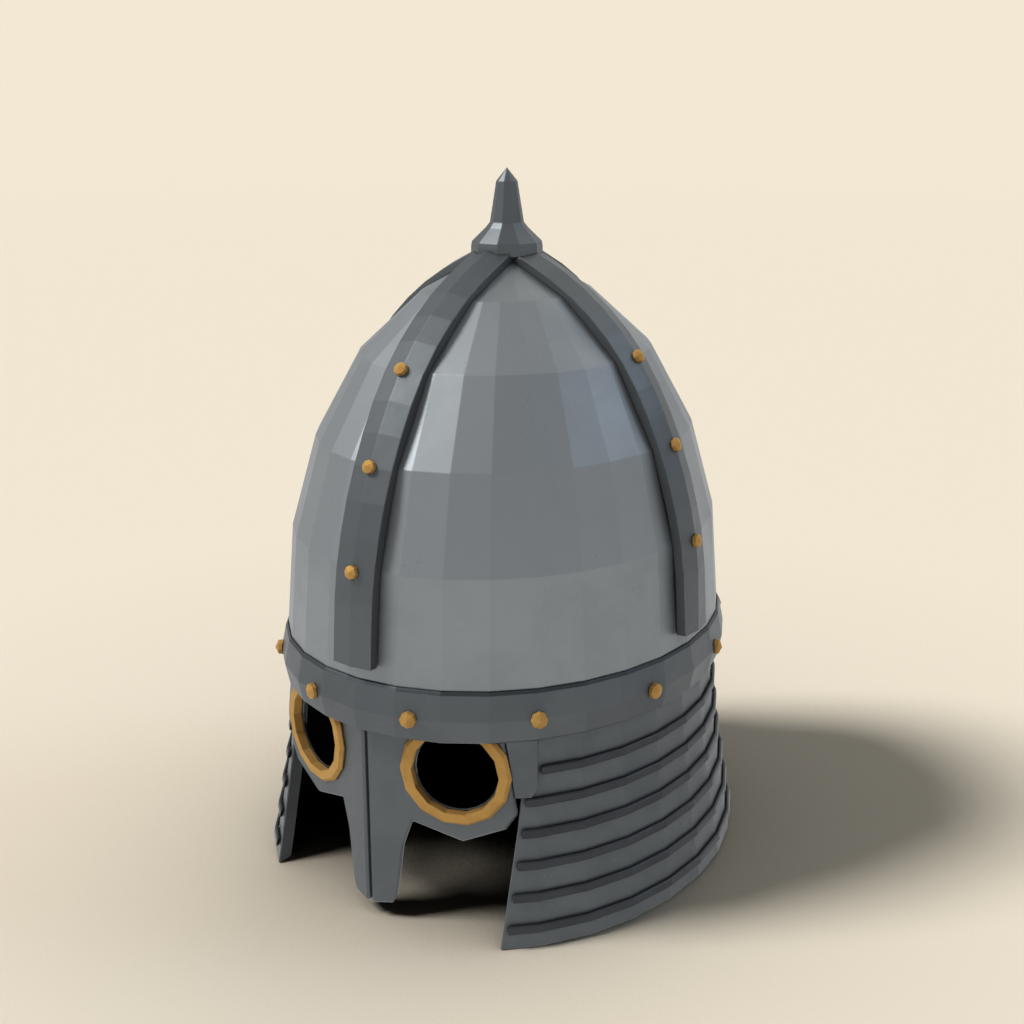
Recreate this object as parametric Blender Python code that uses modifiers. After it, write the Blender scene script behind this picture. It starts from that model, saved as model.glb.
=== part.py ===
"""Viking spectacle helmet, built piece by piece.

A raised steel dome carries four riveted bands, a spiked finial, a brow band, a spectacle guard with a
nasal bar and brass eye rims, and a flared neck guard with raised ribs. Metres, +Z up. The helmet faces -Y
and stands on the neck guard's hem at Z = 0, with the origin under the middle of its length and width. Left
and right are the wearer's, so the left side is at +X.
"""

import math

import bmesh
import bpy
from mathutils import Matrix, Vector

# Overall shape
LENGTH_RATIO = 1.158  # the helmet is this much longer than it is wide
FACETS = 32  # planished flats round the dome, the brow band and the neck guard
FACET_TURN = 2 * math.pi / FACETS
GAP = 0.0003  # clearance between touching pieces
WELD = 0.00001  # corners nearer than this are one corner
DOME_AXIS_Y = -0.0038  # the neck guard flares to the back, so the dome sits ahead of the middle
LEFT = 1
RIGHT = -1

# Dome: wall, and its rings from the brow up. The bands' centre line stands off each ring by band_rise, and
# their side edges lie lower than that line by band_drop.
DOME_WALL = 0.0020
DOME_RIM = 0.1055
DOME_RINGS = (
    # radius, height, band_rise, band_drop
    (0.0987, 0.1173, 0.0055, 0.0012),
    (0.0949, 0.1651, 0.0059, 0.0020),
    (0.0836, 0.2068, 0.0054, 0.0024),
    (0.0643, 0.2433, 0.0050, 0.0025),
    (0.0371, 0.2695, 0.0050, 0.0025),
    (0.0000, 0.2905, 0.0040, 0.0022),
)

# Bands over the dome
BAND_HALF_WIDTH = 0.0100
BAND_THICKNESS = 0.0045
BAND_HEAD_REACH = 0.0060
BAND_CURVE_STEPS = 60
BAND_SPANS = (
    # height of the lower end, segments. A rivet sits where two spans meet.
    (0.1240, 3),
    (0.1654, 3),
    (0.2075, 3),
    (0.2448, 6),
)
BANDS = (
    # name, quarter turns from +X, stretch of the dome in that direction
    ("left", 0, 1.0),
    ("back", 1, LENGTH_RATIO),
    ("right", 2, 1.0),
    ("front", 3, LENGTH_RATIO),
)

# Finial, from the tip down, and the plug under its collar
FINIAL_SIDES = 10
FINIAL_RINGS = (
    # radius, height
    (0.0000, 0.3237),
    (0.0048, 0.3178),
    (0.0050, 0.3167),
    (0.0077, 0.2997),
    (0.0096, 0.2973),
    (0.0159, 0.2912),
    (0.0163, 0.2890),
    (0.0164, 0.2855),
)
PLUG_RADIUS = 0.0140
PLUG_FOOT = 0.2790
PLUG_CLEARANCE = 0.0010

# Brow band: its outer side bulges to a lengthwise crease, and its inner side has a step for the dome's rim
BROW_EDGE = (0.1000, 0.1157)
BROW_CREASE = (0.1022, 0.1046)
BROW_HEM = (0.1003, 0.0945)
BROW_SECTION = (
    # radius, height
    (0.0990, 0.1174),
    BROW_EDGE,
    BROW_CREASE,
    BROW_HEM,
    (0.0998, 0.0940),
    (0.0968, 0.0940),
    (0.0968, 0.1052),
    (0.0990, 0.1052),
)

# Neck guard: the upper edge of each rib lies on one ring of it
GUARD_THICKNESS = 0.0059
GUARD_BEVEL = 0.0007
GUARD_SHARP = 50  # edges that turn by more degrees than this are bevelled
GUARD_FRONT_X = 0.0643
GUARD_RINGS = (
    # radius, height
    (0.0962, 0.1048),
    (0.0962, 0.0940),
    (0.09745, 0.0808),
    (0.0987, 0.0668),
    (0.1003, 0.0529),
    (0.1027, 0.0389),
    (0.1051, 0.0249),
    (0.1074, 0.0110),
    (0.1094, 0.0000),
)
RIBS = 6
FIRST_RIB_RING = 2
RIB_HEIGHT = 0.0037
RIB_RISE = 0.0019
RIB_BEVEL = 0.0005
RIB_SHARP = 50
RIB_FRONT_X = 0.0671
TOP_RIB_FRONT_X = 0.0711  # the top rib starts behind the temple plate
OPENING_HEIGHT = 0.35
OPENING_SETBACK = 0.9  # how far ahead of the dome's axis the opening's middle is, as a share of its depth

# Spectacle plates: flat, swept back from the nose ridge. The outline runs round one plate, as its distance
# from the nose ridge along the plate, and its height.
NOSE_RIDGE_Y = -0.1118
SWEEP = math.radians(20)
PLATE_THICKNESS = 0.0035
PLATE_BEVEL = 0.0010
PLATE_SHARP = 60
PLATE_OUTLINE = (
    # along, height
    (0.00125, 0.0067),
    (0.0110, 0.0077),
    (0.0130, 0.0112),
    (0.0150, 0.0247),
    (0.0167, 0.0377),
    (0.0210, 0.0502),
    (0.0440, 0.0432),
    (0.0635, 0.0517),
    (0.0681, 0.0587),
    (0.0681, 0.0612),
    (0.0630, 0.0917),
    (0.0630, 0.0937),
    (0.0500, 0.0937),
    (0.0500, 0.1050),
    (0.00125, 0.1050),
)
PLATE_SIDE = PLATE_OUTLINE[9:12]
EYE_ALONG = 0.0414
EYE_HEIGHT = 0.0767
EYE_RADIUS = 0.0186
EYE_SIDES = 28
REBATE_RADIUS = 0.0208
REBATE_DEPTH = 0.0021
HOLE_CHAMFER = 0.0006

# Eye rims: a collar in front of the plate, and a sleeve let into the plate's rebate
RIM_SIDES = 14
RIM_SECTION = (
    # radius, how far in front of the plate
    (0.0196, 0.0023),
    (0.0236, 0.0023),
    (0.0250, 0.0009),
    (0.0250, GAP),
    (0.0205, GAP),
    (0.0205, GAP - REBATE_DEPTH),
    (0.0196, GAP - REBATE_DEPTH),
)

# Temple plates lie on the neck guard's facet behind each spectacle plate. rear_trim cuts their lower corner.
TEMPLE_THICKNESS = 0.0020
TEMPLE_BEVEL = 0.0004
TEMPLE_SHARP = 40
TEMPLE_FRONT_VERTEX = -5
TEMPLE_REAR_VERTEX = -4
TEMPLE_ROWS = (
    # height, rear_trim
    (0.0937, 0.0),
    (0.0808, 0.0),
    (0.0711, 0.0),
    (0.0671, 0.0028),
)

# Rivet heads
HEAD_SIDES = 8
BROW_RIVETS = 12
BROW_RIVET_PHASE = 0.5  # the first one's place after +X, as a share of the distance between two
CREASE_REACH = 0.3  # how far along a facet the crease's run is taken, for a head to bend over it
BROW_RIVET_RADIUS = 0.0038
BROW_RIVET_RISE = 0.0028
BAND_RIVET_RADIUS = 0.0032
BAND_RIVET_RISE = 0.0024
HEAD_SHOULDER = (0.92, 0.45)  # share of the radius, share of the rise

# Finishes
FINISHES = {
    # name: (linear colour, roughness, metallic)
    "dome_steel": ((0.222, 0.235, 0.242), 0.50, 1.0),
    "dark_iron": ((0.101, 0.109, 0.114), 0.50, 1.0),
    "rib_iron": ((0.046, 0.050, 0.054), 0.50, 1.0),
    "brass": ((0.440, 0.265, 0.083), 0.50, 1.0),
}


def clear_scene():
    for obj in list(bpy.data.objects):
        bpy.data.objects.remove(obj, do_unlink=True)


def new_collection(name):
    collection = bpy.data.collections.new(name)
    bpy.context.scene.collection.children.link(collection)
    return collection


def new_material(name):
    colour, roughness, metallic = FINISHES[name]
    material = bpy.data.materials.new(name)
    material.use_nodes = True
    surface = material.node_tree.nodes["Principled BSDF"]
    surface.inputs["Base Color"].default_value = (*colour, 1.0)
    surface.inputs["Roughness"].default_value = roughness
    surface.inputs["Metallic"].default_value = metallic
    material.diffuse_color = (*colour, 1.0)
    return material


def new_object(name, mesh, collection):
    obj = bpy.data.objects.new(name, mesh)
    collection.objects.link(obj)
    return obj


def evaluated_mesh(obj):
    """The object's mesh with its modifiers applied, welded and with its faces pointing out."""
    bpy.context.view_layer.update()
    graph = bpy.context.evaluated_depsgraph_get()
    mesh = bpy.data.meshes.new_from_object(obj.evaluated_get(graph))
    shape = bmesh.new()
    shape.from_mesh(mesh)
    bmesh.ops.remove_doubles(shape, verts=shape.verts, dist=WELD)
    bmesh.ops.recalc_face_normals(shape, faces=shape.faces)
    shape.to_mesh(mesh)
    shape.free()
    return mesh


def turned(name, profile, sides, collection, closed=False, stretch=1.0):
    """A profile of (radius, height) points turned round Z, then stretched along Y."""
    edges = [(i, i + 1) for i in range(len(profile) - 1)]
    if closed:
        edges.append((len(profile) - 1, 0))
    line = bpy.data.meshes.new(name)
    line.from_pydata([(radius, 0, height) for radius, height in profile], edges, [])
    guide = new_object(name, line, collection)
    screw = guide.modifiers.new("Turn", "SCREW")
    screw.steps = sides
    screw.render_steps = sides
    screw.use_smooth_shade = False
    screw.use_merge_vertices = True
    screw.merge_threshold = WELD
    mesh = evaluated_mesh(guide)
    mesh.transform(Matrix.Diagonal((1, stretch, 1, 1)))
    bpy.data.objects.remove(guide, do_unlink=True)
    return new_object(name, mesh, collection)


def lofted(name, sections, collection):
    """A closed body through sections that all have the same number of points."""
    size = len(sections[0])
    corners = [point for section in sections for point in section]
    faces = [list(range(size))[::-1], list(range(len(corners) - size, len(corners)))]
    for row in range(len(sections) - 1):
        for i in range(size):
            j = (i + 1) % size
            faces.append([row * size + i, row * size + j, (row + 1) * size + j, (row + 1) * size + i])
    mesh = bpy.data.meshes.new(name)
    mesh.from_pydata(corners, [], faces)
    shape = bmesh.new()
    shape.from_mesh(mesh)
    bmesh.ops.recalc_face_normals(shape, faces=shape.faces)
    shape.to_mesh(mesh)
    shape.free()
    return new_object(name, mesh, collection)


def bevelled(obj, width, sharp):
    bevel = obj.modifiers.new("Edges", "BEVEL")
    bevel.width = width
    bevel.segments = 1
    bevel.limit_method = "ANGLE"
    bevel.angle_limit = math.radians(sharp)
    return obj


def cut(obj, cutter):
    boolean = obj.modifiers.new("Cut " + cutter.name, "BOOLEAN")
    boolean.operation = "DIFFERENCE"
    boolean.solver = "EXACT"
    boolean.object = cutter
    return obj


def as_cutter(obj):
    obj.hide_render = True
    obj.display_type = "WIRE"
    return obj


def grown(profile, distance, closed=False):
    """The profile moved out of its body. An open one starts on the axis and ends at a level rim."""
    points = [Vector(point) for point in profile]
    moved = []
    for i, point in enumerate(points):
        before = points[i - 1]
        after = points[(i + 1) % len(points)]
        if not closed and i == 0:
            before = Vector((-after.x, after.y))
        if not closed and i == len(points) - 1:
            after = point + (point - before)
        first = (point - before).normalized()
        second = (after - point).normalized()
        normal = Vector((-first.y - second.y, first.x + second.x)).normalized()
        moved.append(point + normal * distance / normal.dot(Vector((-second.y, second.x))))
    return [(point.x, point.y) for point in moved]


def ring_point(radius, height, vertex):
    """A point on a faceted ring. Vertices count from +X, and a part of one lies on the facet between two."""
    lower = math.floor(vertex)
    ends = []
    for number in (lower, lower + 1):
        angle = number * FACET_TURN
        ends.append(Vector((radius * math.cos(angle), radius * LENGTH_RATIO * math.sin(angle), height)))
    return ends[0].lerp(ends[1], vertex - lower)


def guard_radius(height):
    """The neck guard's outer radius at a height."""
    for (upper_radius, upper), (lower_radius, lower) in zip(GUARD_RINGS, GUARD_RINGS[1:]):
        if upper >= height >= lower:
            share = (upper - height) / (upper - lower)
            return upper_radius + share * (lower_radius - upper_radius)
    raise ValueError("no neck guard at this height")


def dome_profile():
    """The dome's outer side, from the crown down to the rim."""
    profile = [(radius, height) for radius, height, _, _ in reversed(DOME_RINGS)]
    return profile + [(DOME_RINGS[0][0], DOME_RIM)]


def make_dome(collection):
    outer = dome_profile()
    inner = grown(outer, -DOME_WALL)
    return turned("dome", outer + inner[::-1], FACETS, collection, stretch=LENGTH_RATIO)


def make_dome_seat(cutters):
    """The space that the dome takes, with the clearance round it."""
    outer = grown(dome_profile(), GAP)
    seat = turned("dome_seat", outer + [(0, DOME_RIM)], FACETS, cutters, stretch=LENGTH_RATIO)
    return as_cutter(seat)


def make_brow_band(collection):
    return turned("brow_band", BROW_SECTION, FACETS, collection, closed=True, stretch=LENGTH_RATIO)


def make_brow_seat(cutters):
    """The space that the brow band takes, with the clearance round it."""
    section = grown(BROW_SECTION, GAP, closed=True)
    seat = turned("brow_seat", section, FACETS, cutters, closed=True, stretch=LENGTH_RATIO)
    return as_cutter(seat)


def make_finial(collection, dome_seat):
    profile = [*FINIAL_RINGS, (PLUG_RADIUS, FINIAL_RINGS[-1][1]), (PLUG_RADIUS, PLUG_FOOT), (0, PLUG_FOOT)]
    return cut(turned("finial", profile, FINIAL_SIDES, collection), dome_seat)


def make_finial_seat(cutters):
    """The space under and inside the finial's collar that the bands' upper ends keep out of."""
    collar_radius, collar_foot = FINIAL_RINGS[-1]
    inner = PLUG_RADIUS + PLUG_CLEARANCE
    outer = collar_radius + GAP
    top = FINIAL_RINGS[3][1]
    shelf = collar_foot - GAP
    foot = PLUG_FOOT - GAP
    profile = [(0, top), (outer, top), (outer, shelf), (inner, shelf), (inner, foot), (0, foot)]
    return as_cutter(turned("finial_seat", profile, FINIAL_SIDES, cutters))


def smooth_curve(points, steps):
    """A Catmull-Rom curve through the points, each interval in equal steps."""
    path = [points[0] * 2 - points[1], *points, points[-1] * 2 - points[-2]]
    curve = []
    for a, b, c, d in zip(path, path[1:], path[2:], path[3:]):
        for step in range(steps):
            t = step / steps
            linear = (c - a) * t
            square = (a * 2 - b * 5 + c * 4 - d) * t**2
            cube = (b * 3 - a - c * 3 + d) * t**3
            curve.append((b * 2 + linear + square + cube) / 2)
    return [*curve, points[-1]]


def evenly_spaced(curve, segments):
    """Points that cut a curve into segments of one length."""
    lengths = [0.0]
    for before, after in zip(curve, curve[1:]):
        lengths.append(lengths[-1] + (after - before).length)
    points = []
    i = 0
    for number in range(segments + 1):
        wanted = lengths[-1] * number / segments
        while i < len(curve) - 2 and lengths[i + 1] < wanted:
            i += 1
        points.append(curve[i].lerp(curve[i + 1], (wanted - lengths[i]) / (lengths[i + 1] - lengths[i])))
    return points


def band_stations(stretch):
    """The band's centre line from foot to crown: (reach from the axis, height, drop to the side edges)."""
    rings = [Vector((radius * stretch, height)) for radius, height, _, _ in DOME_RINGS]
    points = []
    for i, (_, _, rise, drop) in enumerate(DOME_RINGS):
        along = rings[min(i + 1, len(rings) - 1)] - rings[max(i - 1, 0)]
        normal = Vector((along.y, -along.x)).normalized()
        point = rings[i] + normal * rise
        points.append(Vector((point.x, point.y, drop)))
    curve = [point for point in smooth_curve(points, BAND_CURVE_STEPS) if point.x >= BAND_HEAD_REACH]
    starts = [next(i for i, point in enumerate(curve) if point.y >= foot) for foot, _ in BAND_SPANS]
    stations = []
    for start, end, (_, segments) in zip(starts, [*starts[1:], len(curve) - 1], BAND_SPANS):
        stations += evenly_spaced(curve[start : end + 1], segments)[:-1]
    return [*stations, curve[-1]]


def band_normals(stations):
    normals = []
    for i in range(len(stations)):
        along = stations[min(i + 1, len(stations) - 1)] - stations[max(i - 1, 0)]
        normals.append(Vector((along.y, -along.x)).normalized())
    return normals


def band_point(station, normal, depth, side):
    """A point of the band's section, as deep as given under its centre line, on a band along +X."""
    return Vector((station.x - normal.x * depth, side * BAND_HALF_WIDTH, station.y - normal.y * depth))


def make_band(name, stations, turn, collection, seats):
    sections = []
    for station, normal in zip(stations, band_normals(stations)):
        drop = station.z
        profile = (
            (drop, -1),
            (0, 0),
            (drop, 1),
            (drop + BAND_THICKNESS, 1),
            (BAND_THICKNESS, 0),
            (drop + BAND_THICKNESS, -1),
        )
        sections.append([band_point(station, normal, depth, side) for depth, side in profile])
    band = lofted("band_" + name, sections, collection)
    band.rotation_euler.z = turn
    for seat in seats:
        cut(band, seat)
    return band


def make_rivet_head(name, centre, sides, ups, radius, rise, collection):
    """A faceted head on a creased surface, with upright sides and a blunt point.

    sides and ups are pairs of points on the surface, to both sides of the centre and above and below it. The
    head's base bends over the two creases that cross at its centre.
    """
    sideways = [(point - centre).normalized() for point in sides]
    upwards = [(point - centre).normalized() for point in ups]
    flat_side = (sideways[0] - sideways[1]).normalized()
    flat_up = (upwards[0] - upwards[1]).normalized()
    outward = flat_side.cross(flat_up).normalized()
    flat_up = outward.cross(flat_side)
    spread, lift = HEAD_SHOULDER
    base = []
    shoulder = []
    for number in range(HEAD_SIDES):
        angle = number * 2 * math.pi / HEAD_SIDES
        across = math.cos(angle)
        up = math.sin(angle)
        side_edge = sideways[0] if across > 0 else sideways[1]
        up_edge = upwards[0] if up > 0 else upwards[1]
        base.append(centre + outward * GAP + radius * (abs(across) * side_edge + abs(up) * up_edge))
        flat = radius * spread * (across * flat_side + up * flat_up)
        shoulder.append(centre + outward * (GAP + rise * lift) + flat)
    head = lofted(name, [base, shoulder], collection)
    shape = bmesh.new()
    shape.from_mesh(head.data)
    shape.faces.ensure_lookup_table()
    for cap, height in ((shape.faces[0], GAP), (shape.faces[1], GAP + rise)):
        middle = bmesh.ops.poke(shape, faces=[cap])["verts"][0]
        middle.co = centre + outward * height
    shape.to_mesh(head.data)
    shape.free()
    return head


def make_band_rivets(name, stations, turn, collection):
    heads = []
    normals = band_normals(stations)
    i = 0
    for number, (_, segments) in enumerate(BAND_SPANS[:-1], start=1):
        i += segments
        centre = band_point(stations[i], normals[i], 0, 0)
        sides = [band_point(stations[i], normals[i], stations[i].z, side) for side in (1, -1)]
        ups = [band_point(stations[j], normals[j], 0, 0) for j in (i + 1, i - 1)]
        title = f"band_{name}_rivet_{number}"
        head = make_rivet_head(title, centre, sides, ups, BAND_RIVET_RADIUS, BAND_RIVET_RISE, collection)
        head.rotation_euler.z = turn
        heads.append(head)
    return heads


def make_brow_rivets(collection):
    heads = []
    for number in range(BROW_RIVETS):
        vertex = FACETS * (number + BROW_RIVET_PHASE) / BROW_RIVETS
        centre = ring_point(*BROW_CREASE, vertex)
        sides = [ring_point(*BROW_CREASE, vertex + share) for share in (CREASE_REACH, -CREASE_REACH)]
        ups = [ring_point(*BROW_EDGE, vertex), ring_point(*BROW_HEM, vertex)]
        title = f"brow_rivet_{number + 1:02d}"
        head = make_rivet_head(title, centre, sides, ups, BROW_RIVET_RADIUS, BROW_RIVET_RISE, collection)
        heads.append(head)
    return heads


def make_front_opening(name, half_width, cutters):
    """A block that opens a ring at the front, between two upright planes."""
    depth = GUARD_RINGS[-1][0] * LENGTH_RATIO
    mesh = bpy.data.meshes.new(name)
    shape = bmesh.new()
    bmesh.ops.create_cube(shape, size=1.0)
    shape.to_mesh(mesh)
    shape.free()
    mesh.transform(Matrix.Diagonal((2 * half_width, depth, OPENING_HEIGHT, 1)))
    block = new_object(name, mesh, cutters)
    block.location = (0, DOME_AXIS_Y - OPENING_SETBACK * depth, BROW_EDGE[1])
    return as_cutter(block)


def make_neck_guard(collection, cutters):
    outer = list(GUARD_RINGS)
    inner = [(radius - GUARD_THICKNESS, height) for radius, height in outer]
    guard = turned("neck_guard", outer + inner[::-1], FACETS, collection, closed=True, stretch=LENGTH_RATIO)
    cut(guard, make_front_opening("face_opening", GUARD_FRONT_X, cutters))
    return bevelled(guard, GUARD_BEVEL, GUARD_SHARP)


def make_neck_ribs(collection, cutters):
    top_opening = make_front_opening("top_rib_opening", TOP_RIB_FRONT_X, cutters)
    opening = make_front_opening("rib_opening", RIB_FRONT_X, cutters)
    ribs = []
    for number in range(RIBS):
        top = GUARD_RINGS[FIRST_RIB_RING + number][1]
        bottom = top - RIB_HEIGHT
        section = [
            (guard_radius(top) + GAP, top),
            (guard_radius(top) + RIB_RISE, top),
            (guard_radius(bottom) + RIB_RISE, bottom),
            (guard_radius(bottom) + GAP, bottom),
        ]
        title = f"neck_rib_{number + 1}"
        rib = turned(title, section, FACETS, collection, closed=True, stretch=LENGTH_RATIO)
        cut(rib, opening if number else top_opening)
        ribs.append(bevelled(rib, RIB_BEVEL, RIB_SHARP))
    return ribs


def plate_frame(side):
    """Puts a shape drawn as (along the plate, height, out of its front) on one side of the nose ridge."""
    upright = Matrix.Rotation(math.radians(90), 4, "X")
    swept = Matrix.Rotation(side * SWEEP, 4, "Z")
    return Matrix.Translation((0, NOSE_RIDGE_Y, 0)) @ swept @ upright


def eye_frame(side):
    """Puts a shape turned round Z on the eye's centre, with its +Z end out of the plate's front."""
    return plate_frame(side) @ Matrix.Translation((side * EYE_ALONG, EYE_HEIGHT, 0))


def make_eye_hole(name, side, cutters):
    """The eye hole, with the rebate that the rim's sleeve sits in and a chamfer at the back of the plate."""
    front = PLATE_BEVEL
    step = -REBATE_DEPTH
    back = -PLATE_THICKNESS
    profile = [
        (0, front),
        (REBATE_RADIUS, front),
        (REBATE_RADIUS, step),
        (EYE_RADIUS, step),
        (EYE_RADIUS, back + HOLE_CHAMFER),
        (EYE_RADIUS + 2 * HOLE_CHAMFER, back - HOLE_CHAMFER),
        (0, back - HOLE_CHAMFER),
    ]
    hole = turned(name, profile, EYE_SIDES, cutters)
    hole.matrix_local = eye_frame(side)
    return as_cutter(hole)


def make_spectacle_plate(name, side, collection, cutters):
    faces = []
    for depth in (0, PLATE_THICKNESS):
        faces.append([Vector((side * along, height, -depth)) for along, height in PLATE_OUTLINE])
    plate = lofted(name, faces, collection)
    plate.matrix_local = plate_frame(side)
    bevelled(plate, PLATE_BEVEL, PLATE_SHARP)
    return cut(plate, make_eye_hole("eye_hole_" + name, side, cutters))


def make_eye_rim(name, side, collection, brow_seat):
    rim = turned(name, RIM_SECTION, RIM_SIDES, collection, closed=True)
    rim.matrix_local = eye_frame(side)
    return cut(rim, brow_seat)


def plate_side_along(height):
    """How far from the nose ridge the plate's outer side edge is at a height."""
    for (lower_along, lower), (upper_along, upper) in zip(PLATE_SIDE, PLATE_SIDE[1:]):
        if lower <= height <= upper:
            return lower_along + (upper_along - lower_along) * (height - lower) / (upper - lower)
    raise ValueError("no side edge at this height")


def meeting_point(first, towards, second, direction):
    """Where the level line from first to towards meets the level line through second in a direction."""
    along = towards - first
    across = Vector((-direction.y, direction.x, 0))
    return first + along * ((second - first).dot(across) / along.dot(across))


def guard_facet(height, rise):
    """The front and rear ends of the facet behind the left spectacle plate, raised off the neck guard."""
    radius = guard_radius(height) + rise
    return ring_point(radius, height, TEMPLE_FRONT_VERTEX), ring_point(radius, height, TEMPLE_REAR_VERTEX)


def make_temple_plate(name, side, collection):
    frame = plate_frame(LEFT)
    inward = frame.to_3x3() @ Vector((0, 0, -1))
    sections = []
    for height, trim in TEMPLE_ROWS:
        edge = frame @ Vector((plate_side_along(height) + GAP, height, 0))
        facet = [guard_facet(height, rise) for rise in (GAP, GAP + TEMPLE_THICKNESS)]
        fronts = (meeting_point(*facet[0], edge, inward), edge + inward * GAP)
        rears = [rear + (front - rear).normalized() * trim for front, (_, rear) in zip(fronts, facet)]
        section = (fronts[0], rears[0], rears[1], fronts[1])
        sections.append([(side * point.x, point.y, point.z) for point in section])
    return bevelled(lofted(name, sections, collection), TEMPLE_BEVEL, TEMPLE_SHARP)


def finish(pieces, material):
    for piece in pieces:
        piece.data.materials.clear()
        piece.data.materials.append(material)


def place(collection, cutters):
    """Sets every piece and cutter on the dome's axis."""
    axis = bpy.data.objects.new("dome_axis", None)
    collection.objects.link(axis)
    axis.location.y = DOME_AXIS_Y
    for obj in [*collection.objects, *cutters.objects]:
        if obj is not axis:
            obj.parent = axis


def main():
    clear_scene()
    helmet = new_collection("viking_spectacle_helmet")
    cutters = new_collection("cutters")
    dome_seat = make_dome_seat(cutters)
    brow_seat = make_brow_seat(cutters)
    finial_seat = make_finial_seat(cutters)

    finish([make_dome(helmet)], new_material("dome_steel"))
    iron = [make_brow_band(helmet), make_finial(helmet, dome_seat), make_neck_guard(helmet, cutters)]
    brass = make_brow_rivets(helmet)
    for name, quarter_turns, stretch in BANDS:
        turn = quarter_turns * math.pi / 2
        stations = band_stations(stretch)
        iron.append(make_band(name, stations, turn, helmet, (dome_seat, finial_seat)))
        brass += make_band_rivets(name, stations, turn, helmet)
    for name, side in (("left", LEFT), ("right", RIGHT)):
        iron.append(make_spectacle_plate("spectacle_" + name, side, helmet, cutters))
        iron.append(make_temple_plate("temple_plate_" + name, side, helmet))
        brass.append(make_eye_rim("eye_rim_" + name, side, helmet, brow_seat))
    finish(iron, new_material("dark_iron"))
    finish(brass, new_material("brass"))
    finish(make_neck_ribs(helmet, cutters), new_material("rib_iron"))
    place(helmet, cutters)


main()
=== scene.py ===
"""Viking spectacle helmet: worn metal finishes, the rivets' inner ends and a studio.

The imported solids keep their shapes. Each gets a worked metal finish, the dome gets the peened ends
of the bands' rivets on its inside, and a pale studio floor, soft lights and the camera are set up.
Metres, +Z up, and the helmet faces -Y with its hem at Z = 0.
"""

import math

import bmesh
import bpy
from mathutils import Euler, Matrix, Vector


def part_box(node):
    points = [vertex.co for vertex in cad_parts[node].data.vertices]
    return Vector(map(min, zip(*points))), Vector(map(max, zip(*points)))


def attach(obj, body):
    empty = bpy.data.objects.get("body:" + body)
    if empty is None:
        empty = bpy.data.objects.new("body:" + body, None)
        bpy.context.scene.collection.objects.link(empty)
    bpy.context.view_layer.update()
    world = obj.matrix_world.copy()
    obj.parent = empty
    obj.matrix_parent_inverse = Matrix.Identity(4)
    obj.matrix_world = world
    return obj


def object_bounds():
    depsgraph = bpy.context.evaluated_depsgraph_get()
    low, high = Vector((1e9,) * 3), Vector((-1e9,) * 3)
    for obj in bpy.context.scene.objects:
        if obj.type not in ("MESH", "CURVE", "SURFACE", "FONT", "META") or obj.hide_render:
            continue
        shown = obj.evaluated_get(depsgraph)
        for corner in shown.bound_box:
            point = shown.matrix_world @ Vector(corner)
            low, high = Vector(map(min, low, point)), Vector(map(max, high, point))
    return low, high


bl_info = {
    "name": "Viking Spectacle Helmet",
    "version": (1, 0, 0),
    "blender": (4, 5, 0),
    "location": "View3D > Sidebar > Helmet",
    "description": "Finishes a spectacle helmet in worn metals and sets up its studio",
    "category": "Object",
}

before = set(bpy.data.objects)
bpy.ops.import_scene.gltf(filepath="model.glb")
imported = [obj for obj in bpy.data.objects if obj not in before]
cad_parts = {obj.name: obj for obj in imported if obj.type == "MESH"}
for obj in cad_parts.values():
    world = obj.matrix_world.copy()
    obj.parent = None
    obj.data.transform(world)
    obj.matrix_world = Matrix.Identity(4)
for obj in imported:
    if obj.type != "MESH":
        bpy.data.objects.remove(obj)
CAD_LOW, CAD_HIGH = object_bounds()
BODY = "root"
SHADOW_DIP = math.radians(42)  # how far below the horizon the mirrored shadow's middle lies
SHADOW_EDGE = (0.86, 0.98)  # cosines of the angles from its middle where it starts and is full
WORLD_BLEND = 0.3  # the mirrored room is all sky this high, and all floor this far below level
# The floor's painted contact shadow reaches this far from the helmet's pieces
CONTACT_REACH = 1.2 * CAD_HIGH.z  # how near the helmet's pieces darken the floor
FLOOR_FADE = (0.35, 0.95)  # shares of the floor's radius where it starts to fade and is gone

# Cosines between a face's normal and outward where the black scale and painted shade of the inside
# are full and where they end
INWARD = (-0.30, -0.15)
CUT_EDGE = (0.9975, 0.999)  # how far a normal points to a side on a face that is a cut edge
CUT_EDGE_SCALE_AND_SHADE = 0.4  # how much of the black scale and painted shade a cut edge keeps

PLAIN_LIGHT = (1.0, 1.0, 1.0)
WARM_LIGHT = (0.90, 0.855, 0.753)
BLUE_LIGHT = (0.55, 0.74, 1.0)
# Azimuth, height over the floor and spread
BACK_LIGHT = (math.radians(82), math.radians(42), math.radians(60))
RIM_LIGHT = (math.radians(38), math.radians(35), math.radians(24))

# How steeply a bevel along a piece's top looks upward, where its painted shade starts and is full
SHADED_TOP_BEVEL = (0.30, 0.40)

# How many rays look for a nearby edge or surface
BEVEL_RAYS = 4
RUB_RAYS = 3
DIRT_AND_SHADE_RAYS = 4
FLOOR_RAYS = 3

# Patina, rubbed edge, and the dark colour of pits and of the dirt and painted shade in crevices, of
# each metal
STEEL_WEAR_DIRT_AND_SHADE = ((0.200, 0.213, 0.221), (0.36, 0.37, 0.38), (0.075, 0.074, 0.072))
IRON_WEAR_DIRT_AND_SHADE = ((0.088, 0.095, 0.100), (0.22, 0.23, 0.24), (0.030, 0.030, 0.030))
BLACK_IRON_WEAR_DIRT_AND_SHADE = ((0.038, 0.041, 0.044), (0.11, 0.115, 0.12), (0.018, 0.018, 0.018))
BRASS_WEAR_DIRT_AND_SHADE = ((0.38, 0.22, 0.066), (0.62, 0.42, 0.17), (0.10, 0.060, 0.026))
BRASS_DULLNESS = 1.5  # its roughness, as a share of the other metals'

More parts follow.
